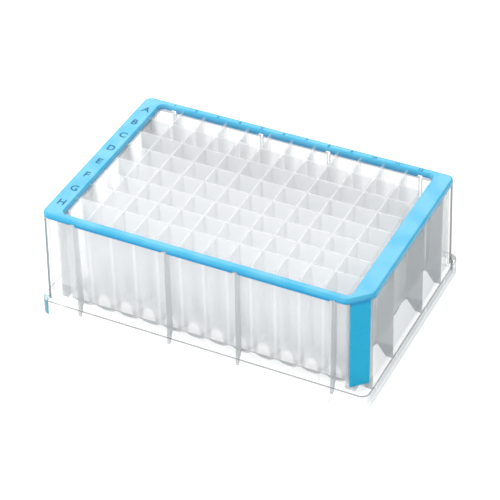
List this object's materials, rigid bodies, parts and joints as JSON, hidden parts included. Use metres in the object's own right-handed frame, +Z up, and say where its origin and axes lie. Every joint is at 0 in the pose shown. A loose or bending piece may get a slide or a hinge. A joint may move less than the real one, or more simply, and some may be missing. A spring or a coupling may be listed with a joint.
{
  "type": "deep-well plate",
  "caption": "See-through deep-well plate with square wells, standing skirt and a blue border with row letters and column numbers.",
  "frame": {"origin": "centre of the footprint, on the surface the plate stands on", "axes": "+X along the rows from column 1 to column 12, +Y from row H to row A, +Z up out of the wells"},
  "size_m": [0.1278, 0.0854, 0.044],
  "materials": {
    "clear_body": "natural see-through polypropylene, faintly cloudy",
    "blue_border": "satin sky-blue polypropylene",
    "print_ink": "dark blue print"
  },
  "bodies": {
    "root": {"plate_body": "clear_body", "border": "blue_border"}
  },
  "joints": []
}
